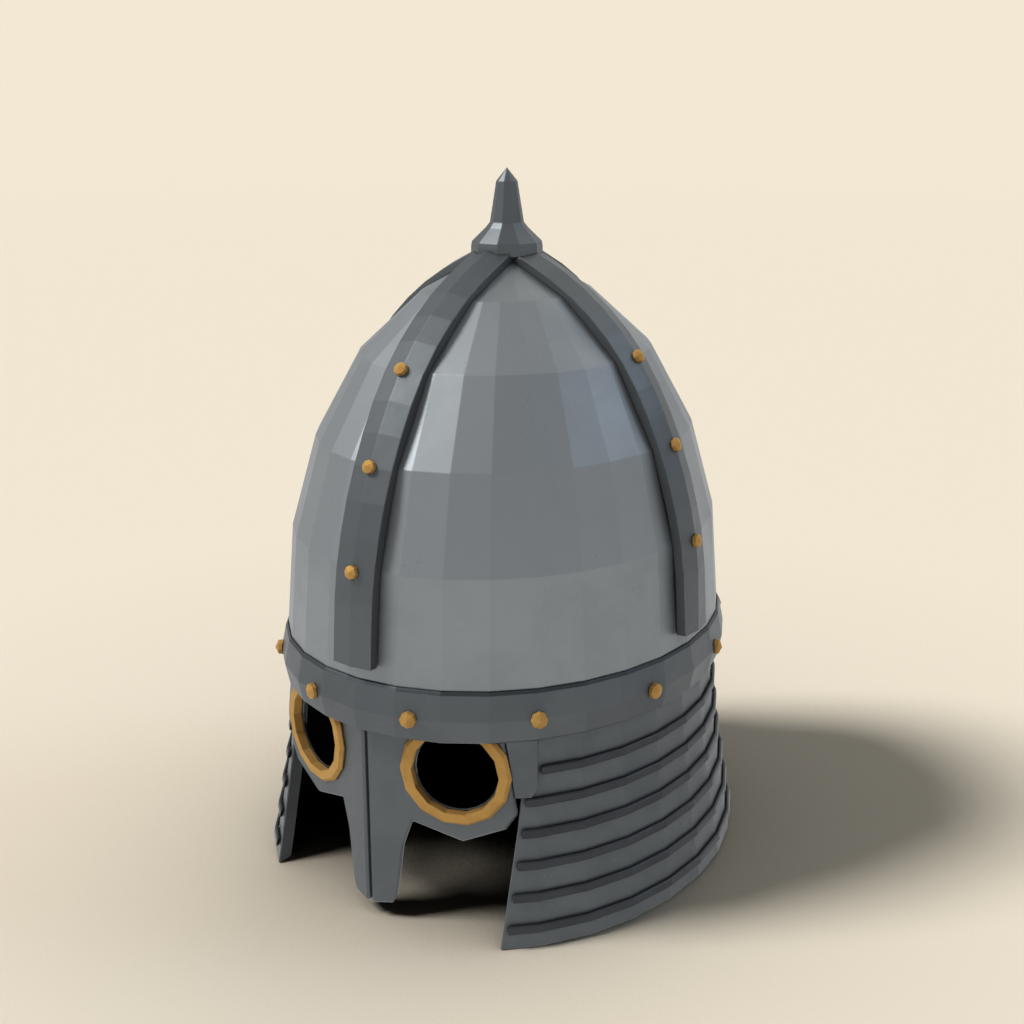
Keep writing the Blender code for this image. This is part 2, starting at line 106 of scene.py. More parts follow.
# How much of each effect shows in the colour
PATINA_SHARE = 0.5
SCRATCH_SHARE = 0.25
PIT_SHARE = 0.25
WEAR_SHARE = 0.3
DIRT_AND_SHADE_SHARE = 0.35

# What each effect adds to the roughness or takes from it
CLEAN_ROUGHNESS = -0.05
PATINA_ROUGHNESS = 0.07
GRAIN_ROUGHNESS = 0.06
WEAR_SMOOTHING = 0.12
GRIME_ROUGHNESS = 0.18

# Shares of the surface's relief
DENT_HEIGHT = 0.55
GRAIN_HEIGHT = 0.10
SCRATCH_DEPTH = 0.10
PIT_DEPTH = 0.20

SCRATCH_NOISE = 22.0  # per metre, before it is drawn out
SCRATCH_PATCHES = 30.0  # per metre
PIT_PATCHES = 55.0  # per metre
PIT_GATE = 0.6  # how far the pits' share reaches into the noise of their patches
PIT_CONTRAST = 8.0
RUB_REACH = 3.0  # how near another surface keeps an edge from being rubbed, in edge radii

# The turn of a set of scratches, and how its noise is scaled along each axis
SCRATCH_SETS = (
    ((0.5, 0.3, 0.9), (1.0, 34.0, 34.0)),
    ((0.2, 1.1, -0.6), (30.0, 1.0, 30.0)),
)

BAND_SIDES = ("left", "back", "right", "front")
BAND_RIVETS = (1, 2, 3)
IRON_PIECES = (
    "finial",
    "spectacle_left",
    "spectacle_right",
    "temple_plate_left",
    "temple_plate_right",
    "neck_guard",
)
TAIL_SIDES = 14
TAIL_PROFILE = (
    # share of the radius, share of the rise
    (1.0, -0.35),
    (1.0, 0.25),
    (0.86, 0.62),
    (0.55, 0.90),
    (0.0, 1.0),
)


# Node helpers


def shader_node(tree, kind, inputs=None, **settings):
    """A node with its settings, and each input set to a value or joined to another node."""
    node = tree.nodes.new(kind)
    for name, value in settings.items():
        setattr(node, name, value)
    for name, value in (inputs or {}).items():
        if isinstance(value, bpy.types.NodeSocket):
            tree.links.new(value, node.inputs[name])
        else:
            node.inputs[name].default_value = value
    return node


def maths(tree, operation, first, second=0.0, clamp=False):
    both = {0: first, 1: second}
    node = shader_node(tree, "ShaderNodeMath", both, operation=operation, use_clamp=clamp)
    return node.outputs[0]


def ramp(tree, value, low, high, to_low=0.0, to_high=1.0):
    """The value's stretch from low to high, spread smoothly over a new one."""
    inputs = {"Value": value, "From Min": low, "From Max": high}
    inputs |= {"To Min": to_low, "To Max": to_high}
    node = shader_node(tree, "ShaderNodeMapRange", inputs, interpolation_type="SMOOTHSTEP")
    return node.outputs["Result"]


def blend_colours(tree, share, first, second):
    node = shader_node(tree, "ShaderNodeMix", {0: share, 6: first, 7: second}, data_type="RGBA")
    return node.outputs[2]


def noise(tree, where, scale, detail=3.0, roughness=0.5, distortion=0.0):
    inputs = {"Vector": where, "Scale": scale, "Detail": detail}
    inputs |= {"Roughness": roughness, "Distortion": distortion}
    return shader_node(tree, "ShaderNodeTexNoise", inputs).outputs["Fac"]


def effect_group(name, inputs, outputs):
    """An empty shader node group with named sockets, its input node and its output node."""
    group = bpy.data.node_groups.new(name, "ShaderNodeTree")
    for title, kind, default in inputs:
        socket = group.interface.new_socket(name=title, in_out="INPUT", socket_type=kind)
        socket.default_value = default
    for title, kind in outputs:
        group.interface.new_socket(name=title, in_out="OUTPUT", socket_type=kind)
    given = group.nodes.new("NodeGroupInput").outputs
    made = group.nodes.new("NodeGroupOutput").inputs
    return group, given, made


def group_node(tree, group, inputs):
    node = shader_node(tree, "ShaderNodeGroup", node_tree=group)
    for name, value in inputs.items():
        node.inputs[name].default_value = value
    return node.outputs


def opaque(colour):
    return (*colour, 1.0)


# Effects that the metals share


def worked_metal_group():
    """What hand work leaves on metal: hammer dents, grain, scratches, pits and patina."""
    group, given, made = effect_group(
        "worked_metal",
        (
            ("Dent Size", "NodeSocketFloat", 0.012),
            ("Grain Size", "NodeSocketFloat", 0.0006),
            ("Patch Size", "NodeSocketFloat", 0.03),
            ("Pit Size", "NodeSocketFloat", 0.003),
            ("Pit Share", "NodeSocketFloat", 0.3),
        ),
        (
            ("Patina", "NodeSocketFloat"),
            ("Grain", "NodeSocketFloat"),
            ("Scratches", "NodeSocketFloat"),
            ("Pits", "NodeSocketFloat"),
            ("Height", "NodeSocketFloat"),
        ),
    )
    where = shader_node(group, "ShaderNodeTexCoord").outputs["Object"]

    sizes = ("Dent Size", "Grain Size", "Patch Size")
    per_metre = {name: maths(group, "DIVIDE", 1.0, given[name]) for name in sizes}
    coarse = {"detail": 6.0, "roughness": 0.62, "distortion": 0.4}
    patches = noise(group, where, per_metre["Patch Size"], **coarse)
    patina = ramp(group, patches, 0.36, 0.68)
    grain = noise(group, where, per_metre["Grain Size"], detail=2.0, roughness=0.6)

    # Fine scratches in two directions, each a noise drawn out long and kept only at its peaks
    scratches = None
    for turn, stretch in SCRATCH_SETS:
        inputs = {"Vector": where, "Rotation": turn, "Scale": stretch}
        drawn_out = shader_node(group, "ShaderNodeMapping", inputs).outputs["Vector"]
        lines = noise(group, drawn_out, SCRATCH_NOISE, detail=4.0, roughness=0.7)
        lines = ramp(group, lines, 0.66, 0.74)
        scratches = lines if scratches is None else maths(group, "MAXIMUM", scratches, lines)
    scratched = ramp(group, noise(group, where, SCRATCH_PATCHES), 0.42, 0.6)
    scratches = maths(group, "MULTIPLY", scratches, scratched)

    cells = {"Vector": where, "Scale": maths(group, "DIVIDE", 1.0, given["Pit Size"])}
    pit_depth = shader_node(group, "ShaderNodeTexVoronoi", cells).outputs["Distance"]
    spots = ramp(group, pit_depth, 0.05, 0.24, 1.0, 0.0)
    uneven = noise(group, where, PIT_PATCHES, detail=3.0)
    gate = maths(group, "SUBTRACT", 1.0, given["Pit Share"])
    pitted = maths(group, "SUBTRACT", uneven, maths(group, "MULTIPLY", gate, PIT_GATE))
    pitted = maths(group, "MULTIPLY", pitted, PIT_CONTRAST, clamp=True)
    pits = maths(group, "MULTIPLY", spots, pitted)

    dents = noise(group, where, per_metre["Dent Size"], detail=1.0)
    height = maths(group, "MULTIPLY", dents, DENT_HEIGHT)
    height = maths(group, "ADD", height, maths(group, "MULTIPLY", grain, GRAIN_HEIGHT))
    height = maths(group, "SUBTRACT", height, maths(group, "MULTIPLY", scratches, SCRATCH_DEPTH))
    height = maths(group, "SUBTRACT", height, maths(group, "MULTIPLY", pits, PIT_DEPTH))

    effects = {"Patina": patina, "Grain": grain, "Scratches": scratches}
    effects |= {"Pits": pits, "Height": height}
    for name, value in effects.items():
        group.links.new(value, made[name])
    return group


def edge_wear_group():
    """Edges rounded by handling: where the metal is rubbed bright, and the rounded normal."""
    group, given, made = effect_group(
        "edge_wear",
        (("Edge Radius", "NodeSocketFloat", 0.0008), ("Breakup Size", "NodeSocketFloat", 0.006)),
        (("Wear", "NodeSocketFloat"), ("Rounded Normal", "NodeSocketVector")),
    )
    flat = shader_node(group, "ShaderNodeNewGeometry").outputs["Normal"]
    radius = {"Radius": given["Edge Radius"]}
    rounded = shader_node(group, "ShaderNodeBevel", radius, samples=BEVEL_RAYS).outputs["Normal"]
    both = {0: flat, 1: rounded}
    alike = shader_node(group, "ShaderNodeVectorMath", both, operation="DOT_PRODUCT")
    edge = ramp(group, maths(group, "SUBTRACT", 1.0, alike.outputs["Value"]), 0.015, 0.16)

    # An inside corner is as sharp as an outside one, but nothing rubs it
    near = {"Distance": maths(group, "MULTIPLY", given["Edge Radius"], RUB_REACH)}
    search = {"samples": RUB_RAYS, "only_local": True}
    open_air = shader_node(group, "ShaderNodeAmbientOcclusion", near, **search).outputs["AO"]
    rubbed = maths(group, "MULTIPLY", edge, ramp(group, open_air, 0.62, 0.9))

    where = shader_node(group, "ShaderNodeTexCoord").outputs["Object"]
    per_metre = maths(group, "DIVIDE", 1.0, given["Breakup Size"])
    broken = noise(group, where, per_metre, detail=5.0, roughness=0.65)
    group.links.new(maths(group, "MULTIPLY", rubbed, ramp(group, broken, 0.38, 0.6)), made["Wear"])
    group.links.new(rounded, made["Rounded Normal"])
    return group


def dirt_and_shade_group():
    """Soot and old oil where pieces meet and hands don't reach, and painted shade in the same
    crevices.
    """
    group, given, made = effect_group(
        "crevice_dirt_and_painted_shade",
        (("Reach", "NodeSocketFloat", 0.006), ("Breakup Size", "NodeSocketFloat", 0.012)),
        (("Dirt And Shade", "NodeSocketFloat"),),
    )
    near = {"Distance": given["Reach"]}
    nearby = shader_node(group, "ShaderNodeAmbientOcclusion", near, samples=DIRT_AND_SHADE_RAYS)
    where = shader_node(group, "ShaderNodeTexCoord").outputs["Object"]
    per_metre = maths(group, "DIVIDE", 1.0, given["Breakup Size"])
    broken = noise(group, where, per_metre, detail=4.0, roughness=0.6)
    crevice = ramp(group, nearby.outputs["AO"], 0.30, 0.92, 1.0, 0.0)
    dirt_and_shade = maths(group, "MULTIPLY", crevice, ramp(group, broken, 0.2, 0.7, 0.45, 1.0))
    group.links.new(dirt_and_shade, made["Dirt And Shade"])
    return group


def inner_scale_and_shade_group():
    """The faces that look into the helmet: black scale from the forge, which also paints the shade
    of its unlit inside.
    """
    group, given, made = effect_group(
        "inner_scale_and_shade",
        (("Middle", "NodeSocketVector", (0.0, 0.0, 0.0)),),
        (("Inside", "NodeSocketFloat"),),
    )
    where = shader_node(group, "ShaderNodeTexCoord").outputs["Object"]
    outward = {0: where, 1: given["Middle"]}
    outward = shader_node(group, "ShaderNodeVectorMath", outward, operation="SUBTRACT").outputs[0]
    outward = shader_node(group, "ShaderNodeVectorMath", {0: outward}, operation="NORMALIZE")
    normal = shader_node(group, "ShaderNodeNewGeometry").outputs["True Normal"]
    facing = {0: outward.outputs[0], 1: normal}
    turned = shader_node(group, "ShaderNodeVectorMath", facing, operation="DOT_PRODUCT")
    turned = ramp(group, turned.outputs["Value"], *INWARD, 1.0, 0.0)
    # Of these faces only the neck guard's cut front edges look straight to a side, and they keep
    # less of the black scale and painted shade
    sideways = shader_node(group, "ShaderNodeSeparateXYZ", {0: normal}).outputs["X"]
    uncut = ramp(group, maths(group, "ABSOLUTE", sideways), *CUT_EDGE, 1.0, CUT_EDGE_SCALE_AND_SHADE)
    group.links.new(maths(group, "MULTIPLY", turned, uncut), made["Inside"])
    return group


def shared_effect(name):
    """The node group of this name, built the first time that it is asked for."""
    makers = {
        "worked_metal": worked_metal_group,
        "edge_wear": edge_wear_group,
        "crevice_dirt_and_painted_shade": dirt_and_shade_group,
        "inner_scale_and_shade": inner_scale_and_shade_group,
    }
    return bpy.data.node_groups.get(name) or makers[name]()


def metal_finish(name, colours, roughness, work, wear, relief, inner=None, shaded_top_bevel=None):
    """A worn metal.

    colours holds the clean metal, its patina, the rubbed edge and the dark colour of pits and of the
    dirt and painted shade in crevices. work and wear are the shared effects' inputs, and relief is
    how deep the dents and the grain go, in metres. inner is the colour of the black scale on the
    faces that look into the helmet, which also paints the shade of its unlit inside, and
    shaded_top_bevel that of a painted shade on the upward bevel along the piece's top, where they
    have one of their own.
    """
    clean, patina, rubbed, dirt_and_shade = [opaque(colour) for colour in colours]
    material = bpy.data.materials.new(name)
    material.use_nodes = True
    tree = material.node_tree
    surface = tree.nodes["Principled BSDF"]
    surface.inputs["Metallic"].default_value = 1.0
    worked = group_node(tree, shared_effect("worked_metal"), work)
    edge = group_node(tree, shared_effect("edge_wear"), wear)
    crevice = group_node(tree, shared_effect("crevice_dirt_and_painted_shade"), {})

    # The crevice mask below adds dirt and painted shade in one colour
    colour = clean
    for mask, share, tint in (
        (worked["Patina"], PATINA_SHARE, patina),
        (worked["Scratches"], SCRATCH_SHARE, rubbed),
        (worked["Pits"], PIT_SHARE, dirt_and_shade),
        (edge["Wear"], WEAR_SHARE, rubbed),
        (crevice["Dirt And Shade"], DIRT_AND_SHADE_SHARE, dirt_and_shade),
    ):
        colour = blend_colours(tree, maths(tree, "MULTIPLY", mask, share), colour, tint)
    # A painted shade darkens the upward-facing bevel along the piece's top
    if shaded_top_bevel:
        lift = shader_node(tree, "ShaderNodeNewGeometry").outputs["True Normal"]
        lift = shader_node(tree, "ShaderNodeSeparateXYZ", {0: lift}).outputs["Z"]
        colour = blend_colours(tree, ramp(tree, lift, *SHADED_TOP_BEVEL), colour, opaque(shaded_top_bevel))
    # Faces inside get the black scale, which also paints the shade of the unlit inside
    if inner:
        middle = {"Middle": (0.0, (CAD_LOW.y + CAD_HIGH.y) / 2, CAD_HIGH.z / 3)}
        inside = group_node(tree, shared_effect("inner_scale_and_shade"), middle)["Inside"]
        colour = blend_colours(tree, inside, colour, opaque(inner))
        # The scale is no metal, and with no gloss this painted shade stays black where it is seen
        # along its face
        tree.links.new(maths(tree, "SUBTRACT", 1.0, inside), surface.inputs["Metallic"])
        surface.inputs["Specular IOR Level"].default_value = 0.0
    tree.links.new(colour, surface.inputs["Base Color"])

    rough = maths(tree, "MULTIPLY", worked["Patina"], PATINA_ROUGHNESS)
    rough = maths(tree, "ADD", roughness + CLEAN_ROUGHNESS, rough)
    rough = maths(tree, "ADD", rough, maths(tree, "MULTIPLY", worked["Grain"], GRAIN_ROUGHNESS))
    rough = maths(tree, "SUBTRACT", rough, maths(tree, "MULTIPLY", edge["Wear"], WEAR_SMOOTHING))
    grimy = maths(tree, "MULTIPLY", crevice["Dirt And Shade"], GRIME_ROUGHNESS)
    rough = maths(tree, "ADD", rough, grimy, clamp=True)
    tree.links.new(rough, surface.inputs["Roughness"])

    bump = {"Height": worked["Height"], "Normal": edge["Rounded Normal"], "Distance": relief}
    bump = shader_node(tree, "ShaderNodeBump", bump)
    tree.links.new(bump.outputs["Normal"], surface.inputs["Normal"])
    material.diffuse_color = clean
    return material


def coat(names, material):
    """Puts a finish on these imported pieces."""
    for name in names:
        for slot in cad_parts[name].material_slots:
            slot.material = material


# Settings


class HelmetMetalSettings(bpy.types.PropertyGroup):
    """The metals' colours, polish and wear."""

    dome_colour: bpy.props.FloatVectorProperty(
        name="Dome steel",
        description="Clean colour of the dome's planished steel",
        subtype="COLOR",
        size=3,
        min=0.0,
        max=1.0,
        default=(0.222, 0.235, 0.242),
    )
    iron_colour: bpy.props.FloatVectorProperty(
        name="Dark iron",
        description="Colour of the bands, the brow band, the guards and the finial",
        subtype="COLOR",
        size=3,
        min=0.0,
        max=1.0,
        default=(0.101, 0.109, 0.114),
    )
    rib_colour: bpy.props.FloatVectorProperty(
        name="Rib iron",
        description="Colour of the neck guard's blackened ribs",
        subtype="COLOR",
        size=3,
        min=0.0,
        max=1.0,
        default=(0.046, 0.050, 0.054),
    )
    brass_colour: bpy.props.FloatVectorProperty(
        name="Brass",
        description="Colour of the eye rims and the rivet heads",
        subtype="COLOR",
        size=3,
        min=0.0,
        max=1.0,
        default=(0.44, 0.265, 0.083),
    )
    # The inside's colour: forge-black scale and painted shade of the unlit inside
    inner_colour: bpy.props.FloatVectorProperty(
        name="Inside",
        description="Colour of the helmet's inside, black from the forge",
        subtype="COLOR",
        size=3,
        min=0.0,
        max=1.0,
        default=(0.010, 0.010, 0.010),
    )
    roughness: bpy.props.FloatProperty(
        name="Roughness",
        description="How dull the metals are, from polished to matt",
        subtype="FACTOR",
        min=0.05,
        max=1.0,
        default=0.50,
    )
    edge_radius: bpy.props.FloatProperty(
        name="Edge radius",
        description="How far handling has rounded the edges",
        subtype="DISTANCE",
        unit="LENGTH",
        min=0.0001,
        max=0.003,
        default=0.0007,
    )
    dent_size: bpy.props.FloatProperty(
        name="Dent size",
        description="Width of a mark of the planishing hammer",
        subtype="DISTANCE",
        unit="LENGTH",
        min=0.003,
        max=0.05,
        default=0.011,
    )
    relief: bpy.props.FloatProperty(
        name="Relief",
        description="Depth of the dents and the grain",
        subtype="DISTANCE",
        unit="LENGTH",
        min=0.0,
        max=0.002,
        default=0.00010,
    )


class HelmetRivetSettings(bpy.types.PropertyGroup):
    """The peened rivet ends inside the dome."""

    tail_radius: bpy.props.FloatProperty(
        name="End radius",
        description="Radius of a rivet's peened end",
        subtype="DISTANCE",
        unit="LENGTH",
        min=0.001,
        max=0.01,
        default=0.0034,
    )
    tail_rise: bpy.props.FloatProperty(
        name="End rise",
        description="How far a peened end stands off the dome's inside",
        subtype="DISTANCE",
        unit="LENGTH",
        min=0.0003,
        max=0.004,
        default=0.0013,
    )


class HelmetStageSettings(bpy.types.PropertyGroup):
    """The floor, the lights and the camera."""

    backdrop_colour: bpy.props.FloatVectorProperty(
        name="Backdrop",
        description="Colour behind the floor's far edge",
        subtype="COLOR",
        size=3,
        min=0.0,
        max=1.0,
        default=(0.888, 0.806, 0.658),
    )
    floor_colour: bpy.props.FloatVectorProperty(
        name="Floor",
        description="Colour of the studio floor",
        subtype="COLOR",
        size=3,
        min=0.0,
        max=1.0,
        default=(0.930, 0.830, 0.672),
    )
    floor_radius: bpy.props.FloatProperty(
        name="Floor radius",
        description="Where the floor has faded into the backdrop",
        subtype="DISTANCE",
        unit="LENGTH",
        min=0.5,
        max=20.0,
        default=6.0,
    )
    room_colour: bpy.props.FloatVectorProperty(
        name="Room light",
        description="Colour of the weak light that falls on the floor from all round",
        subtype="COLOR",
        size=3,
        min=0.0,
        max=1.0,
        default=(0.03, 0.03, 0.03),
    )
    mirrored_sky: bpy.props.FloatVectorProperty(
        name="Mirrored room",
        description="Colour of the pale room that the metal mirrors from above",
        subtype="COLOR",
        size=3,
        min=0.0,
        max=4.0,
        default=(0.60, 0.612, 0.625),
    )
    mirrored_floor: bpy.props.FloatVectorProperty(
        name="Mirrored floor",
        description="Colour of the lit floor that the metal mirrors from below",
        subtype="COLOR",
        size=3,
        min=0.0,
        max=4.0,
        default=(1.22, 1.205, 1.178),
    )
    mirrored_shadow: bpy.props.FloatVectorProperty(
        name="Mirrored shadow",
        description="Colour of the shadow that the metal mirrors from the floor behind it",
        subtype="COLOR",
        size=3,
        min=0.0,
        max=4.0,
        default=(0.60, 0.59, 0.57),
    )
    key_strength: bpy.props.FloatProperty(
        name="Key light",
        description="Strength of the soft key light",
        min=0.0,
        max=20.0,
        default=3.15,
    )
    key_azimuth: bpy.props.FloatProperty(
        name="Key azimuth",
        description="Where the key light comes from, counted from +X towards +Y",
        subtype="ANGLE",
        unit="ROTATION",
        default=math.radians(-139),
    )
    key_height: bpy.props.FloatProperty(
        name="Key height",
        description="How high the key light stands over the floor",
        subtype="ANGLE",
        unit="ROTATION",
        default=math.radians(48.5),
    )
    key_spread: bpy.props.FloatProperty(
        name="Key spread",
        description="How large the key light looks from the helmet",
        subtype="ANGLE",
        unit="ROTATION",
        default=math.radians(17),
    )
    back_strength: bpy.props.FloatProperty(
        name="Back light",
        description="Strength of the wide, warm light from behind",
        min=0.0,
        max=20.0,
        default=0.66,
    )
    rim_strength: bpy.props.FloatProperty(
        name="Rim light",
        description="Strength of the blue light that draws the left side's edge",
        min=0.0,
        max=20.0,
        default=0.42,
    )
    camera_place: bpy.props.FloatVectorProperty(
        name="Camera place",
        description="Where the camera stands",
        subtype="TRANSLATION",
        unit="LENGTH",
        size=3,
        default=(0.36508, -0.54690, 0.36231),
    )
    camera_turn: bpy.props.FloatVectorProperty(
        name="Camera turn",
        description="The camera's rotation",
        subtype="EULER",
        unit="ROTATION",
        size=3,
        default=(math.radians(72.996), 0.0, math.radians(33.708)),
    )
    lens: bpy.props.FloatProperty(
        name="Lens",
        description="Focal length of the camera's lens, in millimetres",
        min=10.0,
        max=300.0,
        default=50.0,
    )


# Operators


class HELMET_OT_finish_dome(bpy.types.Operator):
    """Give the dome its planished, slightly worn steel"""

    bl_idname = "helmet.finish_dome"
    bl_label = "Finish the Dome"

    def execute(self, context):
        metals = context.scene.helmet_metals
        colours = (metals.dome_colour, *STEEL_WEAR_DIRT_AND_SHADE)
        work = {"Dent Size": metals.dent_size, "Patch Size": 0.045}
        work |= {"Pit Size": 0.003, "Pit Share": 0.12}
        wear = {"Edge Radius": metals.edge_radius, "Breakup Size": 0.010}
        steel = ["Planished steel", colours, metals.roughness, work, wear, metals.relief]
        coat(["dome"], metal_finish(*steel, inner=metals.inner_colour))
        return {"FINISHED"}


class HELMET_OT_finish_iron(bpy.types.Operator):
    """Give the bands, the brow band, the guards and the finial their dark forged iron"""

    bl_idname = "helmet.finish_iron"
    bl_label = "Finish the Ironwork"

    def execute(self, context):
        metals = context.scene.helmet_metals
        colours = (metals.iron_colour, *IRON_WEAR_DIRT_AND_SHADE)
        work = {"Dent Size": 0.6 * metals.dent_size, "Patch Size": 0.030}
        work |= {"Pit Size": 0.0022, "Pit Share": 0.18}
        wear = {"Edge Radius": metals.edge_radius, "Breakup Size": 0.007}
        iron = [colours, metals.roughness, work, wear, metals.relief, metals.inner_colour]
        bands = [f"band_{side}" for side in BAND_SIDES]
        coat([*IRON_PIECES, *bands], metal_finish("Forged iron", *iron))
        # The brow band's top bevel gets a painted shade in the ribs' colour
        top_bevel_shaded = metal_finish("Forged iron with a painted shade on its top bevel", *iron, metals.rib_colour)
        coat(["brow_band"], top_bevel_shaded)
        return {"FINISHED"}


class HELMET_OT_finish_ribs(bpy.types.Operator):
    """Give the neck guard's ribs their blackened iron"""

    bl_idname = "helmet.finish_ribs"
    bl_label = "Finish the Neck Ribs"

    def execute(self, context):
        metals = context.scene.helmet_metals
        colours = (metals.rib_colour, *BLACK_IRON_WEAR_DIRT_AND_SHADE)
        work = {"Dent Size": 0.5 * metals.dent_size, "Patch Size": 0.022}
        work |= {"Pit Size": 0.0020, "Pit Share": 0.18}
        wear = {"Edge Radius": 0.6 * metals.edge_radius, "Breakup Size": 0.005}
        relief = 0.6 * metals.relief
        iron = metal_finish("Blackened iron", colours, metals.roughness, work, wear, relief)
        coat([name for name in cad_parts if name.startswith("neck_rib_")], iron)
        return {"FINISHED"}


class HELMET_OT_finish_brass(bpy.types.Operator):
    """Give the eye rims and the rivet heads their aged brass"""

    bl_idname = "helmet.finish_brass"
    bl_label = "Finish the Brass"

    def execute(self, context):
        metals = context.scene.helmet_metals
        colours = (metals.brass_colour, *BRASS_WEAR_DIRT_AND_SHADE)
        work = {"Dent Size": 0.4 * metals.dent_size, "Patch Size": 0.010}
        work |= {"Pit Size": 0.0016, "Pit Share": 0.15}
        wear = {"Edge Radius": 0.3 * metals.edge_radius, "Breakup Size": 0.004}
        roughness = BRASS_DULLNESS * metals.roughness
        brass = metal_finish("Aged brass", colours, roughness, work, wear, 0.4 * metals.relief)
        names = [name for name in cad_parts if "rivet" in name or "eye_rim" in name]
        coat(names, brass)
        return {"FINISHED"}


def rivet_tail(name, place, outward, radius, rise):
    """A low round end that a hammer has spread on the inside of the dome."""
    mesh = bpy.data.meshes.new(name)
    shape = bmesh.new()
    rings = []
    for spread, lift in TAIL_PROFILE[:-1]:
        ring = []
        for number in range(TAIL_SIDES):
            angle = number * 2 * math.pi / TAIL_SIDES
            across = spread * radius * math.cos(angle)
            along = spread * radius * math.sin(angle)
            ring.append(shape.verts.new((across, along, lift * rise)))
        rings.append(ring)
    crown = shape.verts.new((0.0, 0.0, TAIL_PROFILE[-1][1] * rise))
    shape.faces.new(rings[0][::-1])
    for i in range(TAIL_SIDES):
        j = (i + 1) % TAIL_SIDES
        for lower, upper in zip(rings, rings[1:]):
            shape.faces.new((lower[i], lower[j], upper[j], upper[i]))
        shape.faces.new((rings[-1][i], rings[-1][j], crown))
    turn = Vector((0, 0, 1)).rotation_difference(outward).to_matrix().to_4x4()
    bmesh.ops.transform(shape, matrix=Matrix.Translation(place) @ turn, verts=shape.verts)
    shape.to_mesh(mesh)
    shape.free()
    mesh.polygons.foreach_set("use_smooth", [True] * len(mesh.polygons))
    tail = bpy.data.objects.new(name, mesh)
    bpy.context.scene.collection.objects.link(tail)
    return tail


class HELMET_OT_add_rivet_tails(bpy.types.Operator):
    """Add the peened ends of the bands' rivets on the inside of the dome"""

    bl_idname = "helmet.add_rivet_tails"
    bl_label = "Add the Rivets' Inner Ends"

    def execute(self, context):
        rivets = context.scene.helmet_rivets
        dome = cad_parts["dome"]
        axis = sum(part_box("dome"), Vector()) / 2
        brass = bpy.data.materials["Aged brass"]
        for side in BAND_SIDES:
            for number in BAND_RIVETS:
                head = sum(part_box(f"band_{side}_rivet_{number}"), Vector()) / 2
                inside = Vector((axis.x, axis.y, head.z))
                found, place, normal, _ = dome.ray_cast(inside, (head - inside).normalized())
                if not found:
                    raise RuntimeError("the dome has no wall behind a band's rivet")
                name = f"rivet_tail_{side}_{number}"
                facing = normal if normal.dot(inside - place) > 0 else -normal
                tail = rivet_tail(name, place, facing, rivets.tail_radius, rivets.tail_rise)
                tail.data.materials.append(brass)
                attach(tail, BODY)
        return {"FINISHED"}


def studio_floor(stage):
    """A wide disc that fades into the backdrop at its far edge."""
    mesh = bpy.data.meshes.new("studio_floor")
    shape = bmesh.new()
    bmesh.ops.create_circle(shape, cap_ends=True, segments=96, radius=stage.floor_radius)
    shape.to_mesh(mesh)
    shape.free()
    floor = bpy.data.objects.new("studio_floor", mesh)
    bpy.context.scene.collection.objects.link(floor)

    material = bpy.data.materials.new("Studio floor")
    material.use_nodes = True
    tree = material.node_tree
    surface = tree.nodes["Principled BSDF"]
    where = shader_node(tree, "ShaderNodeTexCoord").outputs["Object"]
    # The floor's colour is scaled down near the helmet: a painted contact shadow
    near = {"Distance": CONTACT_REACH}
    open_air = shader_node(tree, "ShaderNodeAmbientOcclusion", near, samples=FLOOR_RAYS)
    shade = {0: stage.floor_colour, "Scale": open_air.outputs["AO"]}
    shade = shader_node(tree, "ShaderNodeVectorMath", shade, operation="SCALE")
    tree.links.new(shade.outputs[0], surface.inputs["Base Color"])
    surface.inputs["Roughness"].default_value = 1.0
    surface.inputs["Specular IOR Level"].default_value = 0.0
    reach = shader_node(tree, "ShaderNodeVectorMath", {0: where}, operation="LENGTH")
    fade_start, fade_end = (share * stage.floor_radius for share in FLOOR_FADE)
    solid = ramp(tree, reach.outputs["Value"], fade_start, fade_end, 1.0, 0.0)
    tree.links.new(solid, surface.inputs["Alpha"])

    # Only the eye sees the painted contact shadow: light that bounces off the floor needs just its
    # colour
    plain = shader_node(tree, "ShaderNodeBsdfDiffuse", {"Color": opaque(stage.floor_colour)})
    seen = shader_node(tree, "ShaderNodeLightPath").outputs["Is Camera Ray"]
    either = {0: seen, 1: plain.outputs[0], 2: surface.outputs[0]}
    either = shader_node(tree, "ShaderNodeMixShader", either)
    tree.links.new(either.outputs[0], tree.nodes["Material Output"].inputs["Surface"])
    mesh.materials.append(material)
    floor.visible_glossy = False
    return floor


